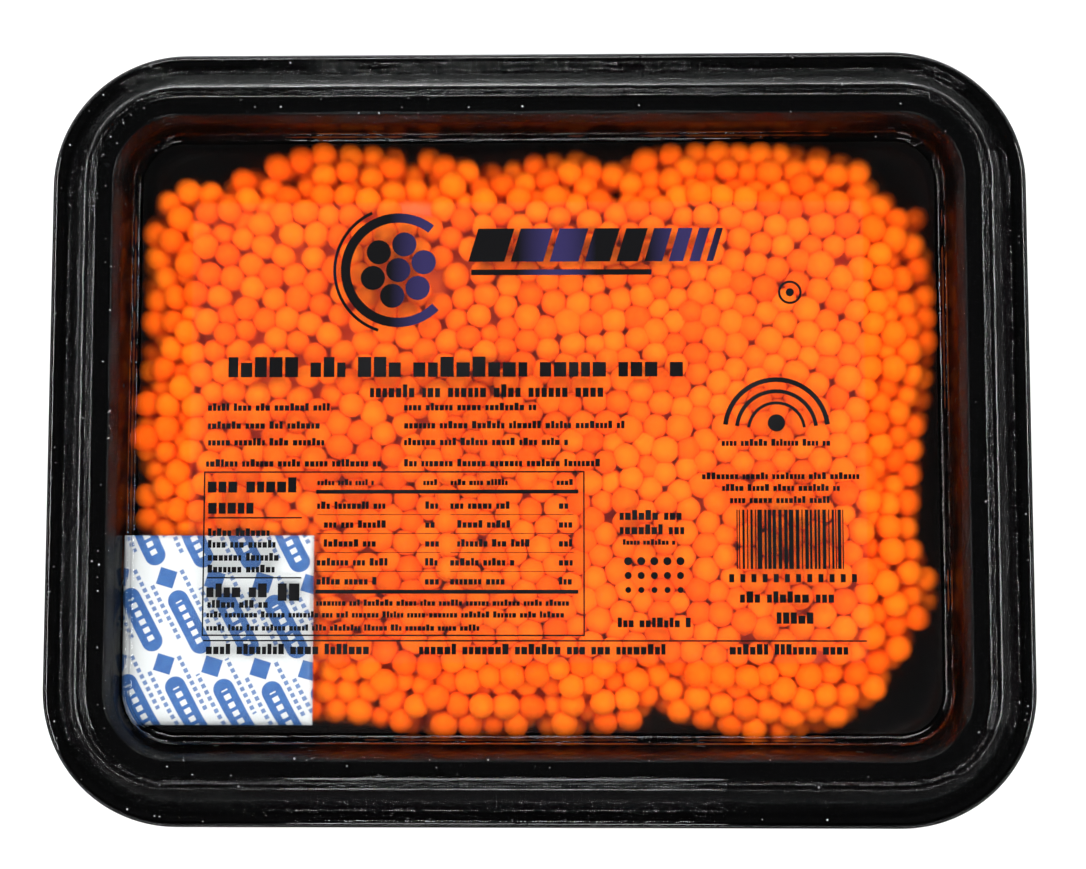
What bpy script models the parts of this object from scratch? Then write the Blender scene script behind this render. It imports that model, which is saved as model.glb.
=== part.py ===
# Shut retail tray of salmon roe: a black tray, a clear close-fitting lid, the roe, a small white
# sachet that lies on it, and the clear film label on the lid. Metres, +Z up. The origin is the
# centre of the base, +X runs along the long side and +Y towards the label's top edge.

import math
import random

import bmesh
import bpy
from mathutils import Matrix, Vector

# Outer size over the lid
LENGTH = 0.228
WIDTH = 0.180
CORNER_RADIUS = 0.0313
CORNER_STEPS = 6

# Lid: its upper face from the skirt's lower edge in to the flat panel, as the distance in from
# the outer edge and the height above the base
LID_SECTION = (
    (0.0002, 0.0140),
    (0.0000, 0.0168),
    (0.0006, 0.0180),
    (0.0017, 0.0186),
    (0.0029, 0.0183),
    (0.0036, 0.0177),
    (0.0043, 0.0182),
    (0.0092, 0.0248),
    (0.0098, 0.0257),
    (0.0105, 0.0260),
    (0.0111, 0.0257),
    (0.0115, 0.0253),
    (0.0123, 0.0257),
    (0.0165, 0.0252),
    (0.0171, 0.0246),
    (0.0187, 0.0187),
    (0.0193, 0.0181),
    (0.0198, 0.0184),
    (0.0205, 0.0180),
)
LID_THICKNESS = 0.0005

# Tray: its upper face from the rim's turned-down edge over a raised ring in to the floor, as
# the distance in from the lid's outer edge, the height, and how much wider than concentric the
# corner is. It follows the lid from below and leaves a small gap.
TRAY_SECTION = (
    (0.0009, 0.0138, 0.0),
    (0.0009, 0.0165, 0.0),
    (0.0018, 0.0176, 0.0),
    (0.0033, 0.0167, 0.0),
    (0.0045, 0.0167, 0.0),
    (0.0098, 0.0237, 0.0),
    (0.0104, 0.0242, 0.0),
    (0.0157, 0.0242, 0.0),
    (0.0163, 0.0236, 0.0),
    (0.0176, 0.0183, 0.0),
    (0.0177, 0.0090, 0.0),
    (0.0184, 0.0043, 0.0015),
    (0.0192, 0.0023, 0.0030),
    (0.0206, 0.0012, 0.0050),
    (0.0226, 0.0007, 0.0070),
)
TRAY_THICKNESS = 0.0007

# Roe: line through the centres of the outermost eggs, seen from above. An egg has few sides,
# so it is made wider by the swell, to look as large as the round one.
HEAP_LINE = (
    (-0.068, 0.063), (-0.076, 0.058), (-0.085, 0.059), (-0.091, 0.054), (-0.092, 0.042),
    (-0.091, 0.028), (-0.092, 0.012), (-0.092, -0.016), (-0.091, -0.038), (-0.086, -0.053),
    (-0.077, -0.063), (-0.065, -0.067), (-0.027, -0.067), (0.012, -0.067), (0.021, -0.066),
    (0.027, -0.060), (0.033, -0.064), (0.048, -0.068), (0.059, -0.068), (0.069, -0.066),
    (0.077, -0.060), (0.083, -0.051), (0.088, -0.043), (0.092, -0.036), (0.086, -0.024),
    (0.088, -0.003), (0.091, 0.013), (0.092, 0.037), (0.090, 0.053), (0.080, 0.057),
    (0.076, 0.063), (0.069, 0.067), (0.036, 0.068), (0.027, 0.067), (0.016, 0.062),
    (0.009, 0.066), (-0.001, 0.065), (-0.010, 0.063), (-0.026, 0.067), (-0.053, 0.068),
)
HEAP_FLOOR = 0.0011
HEAP_TOP = 0.0124
HEAP_FOOT_SCALE = 0.92
EGG_RADIUS = 0.0031
EGG_RADIUS_SPREAD = 0.0003
EGG_SIDES = 6
EGG_RINGS = 3
EGG_SWELL = 1.15
EGG_HEIGHT = 0.0127
EGG_HEIGHT_SPREAD = 0.0004
EGG_SPACING = 0.0083
EGG_APART = 0.0080
EGG_TRIES = 8
EGG_JITTER = 0.0003
EGG_CLEARANCE = 0.0003
EGG_SEED = 12

# Sachet: a flat pillow that the lid presses on the roe. Its outer corner gives way to the
# tray's rounded corner.
SACHET_CENTRE = (-0.0739, -0.0451, 0.0151)
SACHET_LENGTH = 0.0441
SACHET_WIDTH = 0.0436
SACHET_THICKNESS = 0.0038
SACHET_EDGE = 0.0008
SACHET_CUTS = 5
SACHET_INSET = 0.0181

# Film label on the lid's panel
LABEL_CENTRE = (-0.0024, 0.0009)
LABEL_LENGTH = 0.1562
LABEL_WIDTH = 0.1068
LABEL_THICKNESS = 0.0002
LABEL_GAP = 0.0003


def remove_everything():
    for old in list(bpy.data.objects):
        bpy.data.objects.remove(old, do_unlink=True)


def new_collection(name):
    collection = bpy.data.collections.new(name)
    bpy.context.scene.collection.children.link(collection)
    return collection


def new_material(name, colour, roughness, metallic=0.0, alpha=1.0):
    material = bpy.data.materials.new(name)
    material.use_nodes = True
    shader = material.node_tree.nodes["Principled BSDF"]
    shader.inputs["Base Color"].default_value = (*colour, 1.0)
    shader.inputs["Roughness"].default_value = roughness
    shader.inputs["Metallic"].default_value = metallic
    shader.inputs["Alpha"].default_value = alpha
    return material


def add_object(name, bm, collection, material):
    bmesh.ops.recalc_face_normals(bm, faces=bm.faces)
    mesh = bpy.data.meshes.new(name)
    bm.to_mesh(mesh)
    bm.free()
    part = bpy.data.objects.new(name, mesh)
    collection.objects.link(part)
    mesh.materials.append(material)
    return part


def rounded_rectangle(inset, height, wider=0.0):
    """Ring of points at a distance in from the outer edge, with corners wider by some more."""
    radius = CORNER_RADIUS - inset + wider
    across = LENGTH / 2 - inset - radius
    along = WIDTH / 2 - inset - radius
    points = []
    for corner, (side_x, side_y) in enumerate(((1, 1), (-1, 1), (-1, -1), (1, -1))):
        for step in range(CORNER_STEPS + 1):
            angle = (corner + step / CORNER_STEPS) * math.pi / 2
            x = side_x * across + radius * math.cos(angle)
            y = side_y * along + radius * math.sin(angle)
            points.append(Vector((x, y, height)))
    return points


def lofted_shell(name, rings, thickness, collection, material):
    """Open sheet lofted from ring to ring and closed by the last, thickened below itself."""
    bm = bmesh.new()
    loops = [[bm.verts.new(point) for point in ring] for ring in rings]
    for outer, inner in zip(loops, loops[1:]):
        for index in range(len(outer)):
            after = (index + 1) % len(outer)
            bm.faces.new((outer[index], outer[after], inner[after], inner[index]))
    bm.faces.new(loops[-1])
    shell = add_object(name, bm, collection, material)
    if shell.data.polygons[-1].normal.z < 0:
        shell.data.flip_normals()
    solidify = shell.modifiers.new("Thickness", "SOLIDIFY")
    solidify.thickness = thickness
    solidify.offset = -1.0
    solidify.use_even_offset = True
    return shell


def build_tray(collection):
    black = new_material("black tray plastic", (0.012, 0.012, 0.013), 0.25)
    rings = [rounded_rectangle(*row) for row in TRAY_SECTION]
    return lofted_shell("tray", rings, TRAY_THICKNESS, collection, black)


def build_lid(collection):
    clear = new_material("clear lid plastic", (0.9, 0.92, 0.92), 0.08, alpha=0.35)
    rings = [rounded_rectangle(*row) for row in LID_SECTION]
    return lofted_shell("lid", rings, LID_THICKNESS, collection, clear)


def inside(line, x, y):
    crossings = 0
    for (x0, y0), (x1, y1) in zip(line, line[1:] + line[:1]):
        if (y0 > y) != (y1 > y) and x < x0 + (y - y0) * (x1 - x0) / (y1 - y0):
            crossings += 1
    return crossings % 2 == 1


def under_sachet(x, y):
    reach = EGG_RADIUS + EGG_RADIUS_SPREAD + EGG_CLEARANCE
    near_x = abs(x - SACHET_CENTRE[0]) < SACHET_LENGTH / 2 + reach
    near_y = abs(y - SACHET_CENTRE[1]) < SACHET_WIDTH / 2 + reach
    return near_x and near_y


def egg_places():
    """Eggs along the heap's edge first, then row by row over the middle, wherever one fits."""
    line = list(HEAP_LINE)
    wanted = []
    carried = 0.0
    for (x0, y0), (x1, y1) in zip(line, line[1:] + line[:1]):
        length = math.hypot(x1 - x0, y1 - y0)
        while carried < length:
            share = carried / length
            wanted.append((x0 + (x1 - x0) * share, y0 + (y1 - y0) * share))
            carried += EGG_SPACING
        carried -= length
    step = EGG_SPACING / EGG_TRIES
    rows = math.ceil(WIDTH / 2 / step)
    columns = math.ceil(LENGTH / 2 / step)
    for row in range(-rows, rows + 1):
        for column in range(-columns, columns + 1):
            x = column * step + random.uniform(-EGG_JITTER, EGG_JITTER)
            y = row * step + random.uniform(-EGG_JITTER, EGG_JITTER)
            if inside(line, x, y):
                wanted.append((x, y))
    placed = []
    for x, y in wanted:
        crowded = any(math.hypot(x - px, y - py) < EGG_APART for px, py in placed)
        if not crowded and not under_sachet(x, y):
            placed.append((x, y))
    return placed


def build_roe(collection, cutters):
    orange = new_material("roe", (0.85, 0.16, 0.012), 0.35)
    bm = bmesh.new()
    foot = [bm.verts.new((x * HEAP_FOOT_SCALE, y * HEAP_FOOT_SCALE, HEAP_FLOOR)) for x, y in HEAP_LINE]
    base = bm.faces.new(foot)
    grown = bmesh.ops.extrude_face_region(bm, geom=[base])["geom"]
    top = [part for part in grown if isinstance(part, bmesh.types.BMVert)]
    for vert in top:
        vert.co.x /= HEAP_FOOT_SCALE
        vert.co.y /= HEAP_FOOT_SCALE
        vert.co.z = HEAP_TOP
    heap = add_object("roe", bm, collection, orange)

    for number, (x, y) in enumerate(egg_places()):
        radius = EGG_RADIUS + random.uniform(-EGG_RADIUS_SPREAD, EGG_RADIUS_SPREAD)
        height = EGG_HEIGHT + random.uniform(-EGG_HEIGHT_SPREAD, EGG_HEIGHT_SPREAD)
        turn = Matrix.Rotation(random.uniform(0, math.pi), 4, "Z")
        egg_bm = bmesh.new()
        bmesh.ops.create_uvsphere(
            egg_bm, u_segments=EGG_SIDES, v_segments=EGG_RINGS, radius=radius * EGG_SWELL,
            matrix=Matrix.Translation((x, y, height)) @ turn)
        add_object(f"egg_{number:03d}", egg_bm, cutters, orange)

    union = heap.modifiers.new("Eggs", "BOOLEAN")
    union.operation = "UNION"
    union.operand_type = "COLLECTION"
    union.collection = cutters
    union.solver = "EXACT"
    graph = bpy.context.evaluated_depsgraph_get()
    joined = bpy.data.meshes.new_from_object(heap.evaluated_get(graph))
    heap.modifiers.clear()
    heap.data = joined
    joined.name = "roe"
    for egg in list(cutters.objects):
        bpy.data.objects.remove(egg, do_unlink=True)
    return heap


def keep_in_corner(vert, inset):
    """Moves a vertex back inside the rounded corner of the outline at a distance in."""
    radius = CORNER_RADIUS - inset
    centre = Vector((
        math.copysign(LENGTH / 2 - CORNER_RADIUS, vert.co.x),
        math.copysign(WIDTH / 2 - CORNER_RADIUS, vert.co.y)))
    out = vert.co.xy - centre
    beyond = out.x * centre.x > 0 and out.y * centre.y > 0
    if beyond and out.length > radius:
        vert.co.xy = centre + out.normalized() * radius


def build_sachet(collection):
    paper = new_material("sachet paper", (0.86, 0.87, 0.88), 0.5)
    bm = bmesh.new()
    bmesh.ops.create_cube(bm, size=1.0)
    bmesh.ops.subdivide_edges(bm, edges=bm.edges, cuts=SACHET_CUTS, use_grid_fill=True)
    for vert in bm.verts:
        fullness = (1 - abs(2 * vert.co.x) ** 4) * (1 - abs(2 * vert.co.y) ** 4)
        thickness = SACHET_EDGE + (SACHET_THICKNESS - SACHET_EDGE) * math.sqrt(fullness)
        vert.co = vert.co * Vector((SACHET_LENGTH, SACHET_WIDTH, thickness)) + Vector(SACHET_CENTRE)
        keep_in_corner(vert, SACHET_INSET)
    return add_object("sachet", bm, collection, paper)


def build_label(collection):
    film = new_material("label film", (0.85, 0.86, 0.86), 0.3, alpha=0.4)
    bm = bmesh.new()
    bmesh.ops.create_cube(bm, size=1.0)
    bmesh.ops.scale(bm, vec=(LABEL_LENGTH, LABEL_WIDTH, LABEL_THICKNESS), verts=bm.verts)
    label = add_object("label", bm, collection, film)
    panel_height = LID_SECTION[-1][1]
    label.location = (*LABEL_CENTRE, panel_height + LABEL_GAP + LABEL_THICKNESS / 2)
    return label


def main():
    random.seed(EGG_SEED)
    remove_everything()
    parts = new_collection("salmon roe pack")
    cutters = new_collection("cutters")
    build_tray(parts)
    build_roe(parts, cutters)
    build_sachet(parts)
    build_lid(parts)
    build_label(parts)


main()
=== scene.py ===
import math

import bmesh
import bpy
import numpy as np
from mathutils import Matrix, Vector


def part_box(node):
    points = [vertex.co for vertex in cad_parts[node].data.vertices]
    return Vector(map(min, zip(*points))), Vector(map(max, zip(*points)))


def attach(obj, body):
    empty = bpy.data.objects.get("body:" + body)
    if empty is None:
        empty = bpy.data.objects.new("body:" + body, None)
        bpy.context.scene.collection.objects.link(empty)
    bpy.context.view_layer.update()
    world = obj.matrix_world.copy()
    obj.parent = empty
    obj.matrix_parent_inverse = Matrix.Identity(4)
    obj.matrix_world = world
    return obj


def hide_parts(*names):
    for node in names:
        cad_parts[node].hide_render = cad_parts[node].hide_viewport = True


# Shut pack of salmon roe: black tray, clear lid with a raised ring, loose eggs, a white sachet
# and a printed film label. Sizes are in millimetres until a mesh is finished, then in metres.

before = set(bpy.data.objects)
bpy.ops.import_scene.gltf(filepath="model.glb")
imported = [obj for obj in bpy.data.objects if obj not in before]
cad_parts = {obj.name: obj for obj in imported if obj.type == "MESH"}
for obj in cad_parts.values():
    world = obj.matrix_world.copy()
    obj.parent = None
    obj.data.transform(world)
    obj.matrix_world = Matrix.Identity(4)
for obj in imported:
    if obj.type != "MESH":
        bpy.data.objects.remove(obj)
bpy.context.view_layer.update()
mm = 0.001
lidLow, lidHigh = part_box("lid")
halfLength = lidHigh.x / mm
halfWidth = lidHigh.y / mm
cornerRadius = 31.3  # of the rim's outline
labelLow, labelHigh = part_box("label")
sachetLow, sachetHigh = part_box("sachet")
sachetBox = [c / mm for c in (*sachetLow, *sachetHigh)]


# Shared mesh helpers

def finishPiece(name, bm, material, smooth=True):
    bmesh.ops.scale(bm, vec=(mm, mm, mm), verts=bm.verts)
    bmesh.ops.recalc_face_normals(bm, faces=bm.faces)
    mesh = bpy.data.meshes.new(name)
    bm.to_mesh(mesh)
    bm.free()
    mesh.materials.append(material)
    if smooth:
        mesh.polygons.foreach_set("use_smooth", [True] * len(mesh.polygons))
    piece = bpy.data.objects.new(name, mesh)
    bpy.context.scene.collection.objects.link(piece)
    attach(piece, "root")
    return piece


def roundedSection(points, rounds):
    # cuts the corners of a profile, so that its bends are round
    points = [Vector(p) for p in points]
    for _ in range(rounds):
        cut = [points[0]]
        for a, b in zip(points, points[1:]):
            cut.append(a.lerp(b, 0.25))
            cut.append(a.lerp(b, 0.75))
        cut.append(points[-1])
        points = cut
    return points


def roundedRing(bm, reachX, reachY, radius, height, segments):
    # a flat rectangle whose corners are bevelled into arcs; gives its one face
    before = set(bm.faces)
    made = bmesh.ops.create_grid(bm, x_segments=1, y_segments=1, size=1.0)
    bmesh.ops.scale(bm, vec=(reachX, reachY, 1.0), verts=made["verts"])
    bmesh.ops.translate(bm, vec=(0, 0, height), verts=made["verts"])
    bmesh.ops.bevel(
        bm, geom=made["verts"], affect="VERTICES", offset=radius, offset_type="OFFSET",
        segments=segments, profile=0.5, material=-1)
    return next(f for f in bm.faces if f not in before)


def ringShell(section, segments):
    # rings from the rim in to the flat middle, each bridged to the next
    bm = bmesh.new()
    faces = []
    for count, row in enumerate(section):
        inset, height, wider = (*row, 0.0)[:3]
        height += 0.0005 * count  # rings at one height would be bridged askew
        reach = cornerRadius - inset + wider
        faces.append(roundedRing(bm, halfLength - inset, halfWidth - inset, reach, height, segments))
    loops = [list(f.edges) for f in faces]
    bmesh.ops.delete(bm, geom=faces[:-1], context="FACES_ONLY")
    for outer, inner in zip(loops, loops[1:]):
        bmesh.ops.bridge_loops(bm, edges=outer + inner)
    return bm


def thicken(bm, faces, thickness):
    # flat faces become a thin layer
    grown = bmesh.ops.extrude_face_region(bm, geom=faces)["geom"]
    verts = [g for g in grown if isinstance(g, bmesh.types.BMVert)]
    bmesh.ops.translate(bm, vec=(0, 0, thickness), verts=verts)


def faceUp(piece):
    # an open shell is turned so that its broad flat face looks up
    if max(piece.data.polygons, key=lambda f: f.area).normal.z < 0:
        piece.data.flip_normals()


def insetOf(point):
    # how far a point lies in from the rim's rounded outline, in millimetres
    pastX = abs(point.x) / mm - halfLength + cornerRadius
    pastY = abs(point.y) / mm - halfWidth + cornerRadius
    reach = math.hypot(pastX, pastY) if min(pastX, pastY) > 0 else max(pastX, pastY)
    return cornerRadius - reach


def addSolidify(piece, thickness):
    shell = piece.modifiers.new("sheet thickness", "SOLIDIFY")
    shell.thickness = thickness * mm
    shell.offset = -1.0
    shell.use_even_offset = True


# Shared shader groups

def newGroup(name, inputs, outputs):
    group = bpy.data.node_groups.new(name, "ShaderNodeTree")
    for label, kind, value in inputs:
        group.interface.new_socket(label, in_out="INPUT", socket_type=kind).default_value = value
    for label, kind in outputs:
        group.interface.new_socket(label, in_out="OUTPUT", socket_type=kind)
    start = group.nodes.new("NodeGroupInput")
    end = group.nodes.new("NodeGroupOutput")
    return group, start, end


def addNode(tree, kind, **values):
    node = tree.nodes.new(kind)
    for key, value in values.items():
        setattr(node, key, value)
    return node


def link(tree, source, target):
    tree.links.new(source, target)


def addMath(tree, operation, a, b=None, c=None, clamp=False):
    node = addNode(tree, "ShaderNodeMath", operation=operation, use_clamp=clamp)
    for socket, value in zip(node.inputs, (a, b, c)):
        if value is None:
            continue
        if isinstance(value, (int, float)):
            socket.default_value = value
        else:
            link(tree, value, socket)
    return node.outputs[0]


def addRamp(tree, value, stops):
    ramp = addNode(tree, "ShaderNodeValToRGB")
    while len(ramp.color_ramp.elements) < len(stops):
        ramp.color_ramp.elements.new(0.5)
    for element, (place, colour) in zip(ramp.color_ramp.elements, stops):
        element.position = place
        element.color = (*colour, 1.0) if len(colour) == 3 else colour
    link(tree, value, ramp.inputs[0])
    return ramp.outputs[0]


def objectPoint(tree):
    return addNode(tree, "ShaderNodeTexCoord").outputs["Object"]


def addNoise(tree, scale, detail=2.0):
    noise = addNode(tree, "ShaderNodeTexNoise")
    noise.inputs["Detail"].default_value = detail
    link(tree, objectPoint(tree), noise.inputs["Vector"])
    if isinstance(scale, float):
        noise.inputs["Scale"].default_value = scale
    else:
        link(tree, scale, noise.inputs["Scale"])
    return noise.outputs["Fac"]


def makeSheetGroup():
    # slow waves and fine grain of thermoformed sheet, as a height
    group, start, end = newGroup(
        "formedSheet",
        [("Wave Scale", "NodeSocketFloat", 30.0), ("Grain Scale", "NodeSocketFloat", 900.0),
         ("Grain Share", "NodeSocketFloat", 0.1)],
        [("Height", "NodeSocketFloat")])
    wave = addNoise(group, start.outputs["Wave Scale"], detail=1.0)
    grain = addNoise(group, start.outputs["Grain Scale"])
    fine = addMath(group, "MULTIPLY", grain, start.outputs["Grain Share"])
    link(group, addMath(group, "ADD", wave, fine), end.inputs["Height"])
    return group


def makeScuffGroup():
    # small rubbed spots and a little dust, as a mask
    group, start, end = newGroup(
        "scuffs",
        [("Scale", "NodeSocketFloat", 300.0), ("Threshold", "NodeSocketFloat", 0.69)],
        [("Mask", "NodeSocketFloat")])
    noise = addNoise(group, start.outputs["Scale"], detail=4.0)
    above = addMath(group, "SUBTRACT", noise, start.outputs["Threshold"])
    link(group, addMath(group, "MULTIPLY", above, 12.0, clamp=True), end.inputs["Mask"])
    return group


sheetGroup = makeSheetGroup()
scuffGroup = makeScuffGroup()


def newMaterial(name):
    material = bpy.data.materials.new(name)
    material.use_nodes = True
    tree = material.node_tree
    return material, tree, tree.nodes["Principled BSDF"], tree.nodes["Material Output"]


def placeGroup(tree, group, values):
    node = addNode(tree, "ShaderNodeGroup", node_tree=group)
    for key, value in values.items():
        node.inputs[key].default_value = value
    return node.outputs[0]


def addBump(tree, shader, height, strength, distance):
    bump = addNode(tree, "ShaderNodeBump")
    bump.inputs["Strength"].default_value = strength
    bump.inputs["Distance"].default_value = distance
    link(tree, height, bump.inputs["Height"])
    link(tree, bump.outputs[0], shader.inputs["Normal"])


# Tray

tray = {
    "section": (  # inset from the lid's outer edge, height, how much wider the corner is
        (0.34, 13.8, 0.0), (0.34, 16.7, 0.0), (0.52, 17.55, 0.0), (1.3, 18.0, 0.0), (2.2, 18.1, 0.0),
        (3.0, 17.6, 0.0), (3.6, 17.1, 0.0), (4.4, 17.12, 0.0), (4.8, 17.4, 0.0), (9.5, 24.0, 0.0),
        (9.9, 24.4, 0.0), (10.4, 24.5, 0.0), (11.4, 24.48, 0.0), (15.0, 24.4, 0.0), (15.7, 24.3, 0.0),
        (16.1, 23.9, 0.0), (16.4, 23.0, 0.0), (17.6, 18.8, 0.0),
        (17.75, 9.0, 0.0), (18.3, 4.3, 1.5), (19.2, 2.3, 3.0), (20.6, 1.2, 5.0), (22.6, 0.75, 7.0),
        (25.0, 0.66, 9.0)),
    "rounds": 2,
    "cornerSteps": 22,
    "thickness": 0.6,
    "colour": (0.0016, 0.0016, 0.0017),
    "wornColour": (0.006, 0.006, 0.0063),
    "gloss": 0.13,
    "roughness": (0.035, 0.09),
    "wallRoughness": (0.26, 0.34),
    "wallInset": (15.9, 18.0),
    "scuffs": {"Scale": 300.0, "Threshold": 0.69},
    "sheet": {"Wave Scale": 45.0, "Grain Scale": 1500.0, "Grain Share": 0.06},
    "bump": (0.012, 0.0003),  # strength and distance
}


def makeTrayMaterial(name, roughness):
    material, tree, shader, _ = newMaterial(name)
    scuff = placeGroup(tree, scuffGroup, tray["scuffs"])
    colour = addRamp(tree, scuff, ((0.0, tray["colour"]), (1.0, tray["wornColour"])))
    link(tree, colour, shader.inputs["Base Color"])
    low, high = roughness
    link(tree, addMath(tree, "MULTIPLY_ADD", scuff, high - low, low), shader.inputs["Roughness"])
    shader.inputs["Specular IOR Level"].default_value = tray["gloss"]
    addBump(tree, shader, placeGroup(tree, sheetGroup, tray["sheet"]), *tray["bump"])
    return material


def makeTray():
    section = roundedSection(tray["section"], tray["rounds"])
    bm = ringShell(section, tray["cornerSteps"])
    piece = finishPiece("traySheet", bm, makeTrayMaterial("glossyBlackTray", tray["roughness"]))
    faceUp(piece)
    addSolidify(piece, tray["thickness"])
    piece.data.materials.append(makeTrayMaterial("blackTrayInside", tray["wallRoughness"]))
    for face in piece.data.polygons:
        if tray["wallInset"][0] < insetOf(face.center) < tray["wallInset"][1]:
            face.material_index = 1
    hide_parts("tray")


# Lid

lid = {
    "section": (  # inset from the outer edge, height
        (0.2, 14.0), (0.0, 16.8), (0.2, 17.9), (1.1, 18.6), (2.2, 18.7), (3.0, 18.3), (3.6, 17.8),
        (4.0, 17.7), (4.3, 18.0), (4.6, 18.5), (8.9, 24.65), (9.3, 25.45), (9.6, 25.75), (10.4, 25.95),
        (11.0, 25.85), (11.3, 25.2), (11.6, 25.1), (12.1, 25.35), (12.6, 25.4), (15.8, 25.2),
        (16.5, 25.1), (16.9, 24.8), (17.2, 24.0), (18.9, 18.8), (19.3, 18.0), (19.7, 17.9),
        (20.2, 18.4), (20.6, 18.38), (21.0, 18.05), (22.5, 17.98)),
    "rounds": 2,
    "cornerSteps": 24,
    "thickness": 0.3,
    "colour": (0.97, 0.98, 0.98),
    "ior": 1.4,
    "ring": (0.30, (0.02, 0.05), 0.5),  # share seen straight through, roughness, then gloss
    "lip": (0.06, (0.02, 0.06), 0.5),
    "lipColour": (0.10, 0.10, 0.105),
    "lipInset": 1.6,
    "panel": (0.34, (0.21, 0.26), 0.0),
    "wall": (0.985, (0.03, 0.10), 0.5),
    "panelInset": 21.5,
    "wallInset": (15.7, 19.2),
    "straight": (0.94, 0.945, 0.945),  # colour of the share seen straight through
    "scuffs": {"Scale": 420.0, "Threshold": 0.70},
    "sheet": {"Wave Scale": 38.0, "Grain Scale": 700.0, "Grain Share": 0.03},
    "bump": (0.012, 0.0002),  # strength and distance
}


def makeClearMaterial(name, clearShare, roughness, gloss, colour):
    # clear sheet: lamps and bounced light pass straight through, and so does a share of the view
    material, tree, shader, output = newMaterial(name)
    shader.inputs["Base Color"].default_value = (*colour, 1.0)
    shader.inputs["Transmission Weight"].default_value = 1.0
    shader.inputs["IOR"].default_value = lid["ior"]
    shader.inputs["Specular IOR Level"].default_value = gloss
    low, high = roughness
    scuff = placeGroup(tree, scuffGroup, lid["scuffs"])
    link(tree, addMath(tree, "MULTIPLY_ADD", scuff, high - low, low), shader.inputs["Roughness"])
    addBump(tree, shader, placeGroup(tree, sheetGroup, lid["sheet"]), *lid["bump"])
    path = addNode(tree, "ShaderNodeLightPath")
    lit = addMath(tree, "MAXIMUM", path.outputs["Is Shadow Ray"], path.outputs["Is Diffuse Ray"])
    lit = addMath(tree, "MAXIMUM", lit, clearShare)
    clear = addNode(tree, "ShaderNodeBsdfTransparent")
    clear.inputs[0].default_value = (*lid["straight"], 1.0)
    mix = addNode(tree, "ShaderNodeMixShader")
    link(tree, lit, mix.inputs[0])
    link(tree, shader.outputs[0], mix.inputs[1])
    link(tree, clear.outputs[0], mix.inputs[2])
    link(tree, mix.outputs[0], output.inputs["Surface"])
    return material


def makeLid():
    section = roundedSection(lid["section"], lid["rounds"])
    bm = ringShell(section, lid["cornerSteps"])
    piece = finishPiece("lidSheet", bm, makeClearMaterial("clearLid", *lid["ring"], lid["colour"]))
    faceUp(piece)
    piece.data.materials.append(makeClearMaterial("hazyLidPanel", *lid["panel"], lid["colour"]))
    piece.data.materials.append(makeClearMaterial("clearLidWall", *lid["wall"], lid["colour"]))
    piece.data.materials.append(makeClearMaterial("clearLidLip", *lid["lip"], lid["lipColour"]))
    addSolidify(piece, lid["thickness"])
    for face in piece.data.polygons:
        inset = insetOf(face.center)
        if inset > lid["panelInset"]:
            face.material_index = 1
        elif lid["wallInset"][0] < inset < lid["wallInset"][1]:
            face.material_index = 2
        elif inset < lid["lipInset"]:
            face.material_index = 3
    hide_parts("lid")


# Rubbed flecks on the lid

flecks = {
    "seed": 23,
    "count": 170,
    "size": (0.10, 0.26),
    "stretch": (0.4, 1.0),
    "rows": ((1.7, 18.74), (2.3, 18.72), (9.9, 25.94), (10.5, 25.98), (12.8, 25.42), (14.6, 25.33),
             (16.2, 25.20), (20.4, 18.48)),  # inset and height
    "leftShare": 0.4,  # how many are moved to the left side
    "thickness": 0.02,
    "colour": (0.50, 0.50, 0.51),
    "dullness": 0.3,
    "jitter": 0.25,
    "grain": 300.0,
    "roughness": 0.7,
}


def ringPoint(inset, share):
    # a place along a rounded rectangle, from 0 to 1 around it, starting at the middle of the right side
    corner = cornerRadius - inset
    straightX = halfLength - cornerRadius
    straightY = halfWidth - cornerRadius
    arc = corner * math.pi / 2
    at = share * (4 * straightX + 4 * straightY + 4 * arc)
    turn = 0
    for half in (straightY, straightX, straightY, straightX, straightY):
        signX, signY = ((1, 1), (-1, 1), (-1, -1), (1, -1), (1, 1))[turn]
        side = half if turn in (0, 4) else 2 * half
        if at < side or turn == 4:
            along = at if turn == 0 else at - half
            if turn % 2 == 0:
                return signX * (straightX + corner), (along if signX > 0 else -along)
            return (-along if signY > 0 else along), signY * (straightY + corner)
        at -= side
        if at < arc:
            angle = turn * math.pi / 2 + at / corner
            return signX * straightX + corner * math.cos(angle), signY * straightY + corner * math.sin(angle)
        at -= arc
        turn += 1


def makeFlecks():
    draw = np.random.default_rng(flecks["seed"])
    bm = bmesh.new()
    for _ in range(flecks["count"]):
        inset, height = flecks["rows"][int(draw.integers(len(flecks["rows"])))]
        x, y = ringPoint(inset + draw.uniform(-flecks["jitter"], flecks["jitter"]), draw.uniform(0, 1))
        if draw.uniform() < flecks["leftShare"]:
            x = -abs(x)
        size = draw.uniform(*flecks["size"])
        shape = Matrix.Diagonal((size, size * draw.uniform(*flecks["stretch"]), 1.0, 1.0))
        turn = Matrix.Rotation(draw.uniform(0, math.tau), 4, "Z")
        bmesh.ops.create_circle(bm, cap_ends=True, segments=5, radius=1.0,
                                matrix=Matrix.Translation((x, y, height)) @ turn @ shape)
    thicken(bm, bm.faces[:], flecks["thickness"])
    material, tree, shader, _ = newMaterial("rubbedFlecks")
    dull = tuple(c * flecks["dullness"] for c in flecks["colour"])
    colour = addRamp(tree, addNoise(tree, flecks["grain"]), ((0.3, dull), (0.7, flecks["colour"])))
    link(tree, colour, shader.inputs["Base Color"])
    shader.inputs["Roughness"].default_value = flecks["roughness"]
    piece = finishPiece("lidFlecks", bm, material, smooth=False)
    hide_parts("lid")


# Roe

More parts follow.
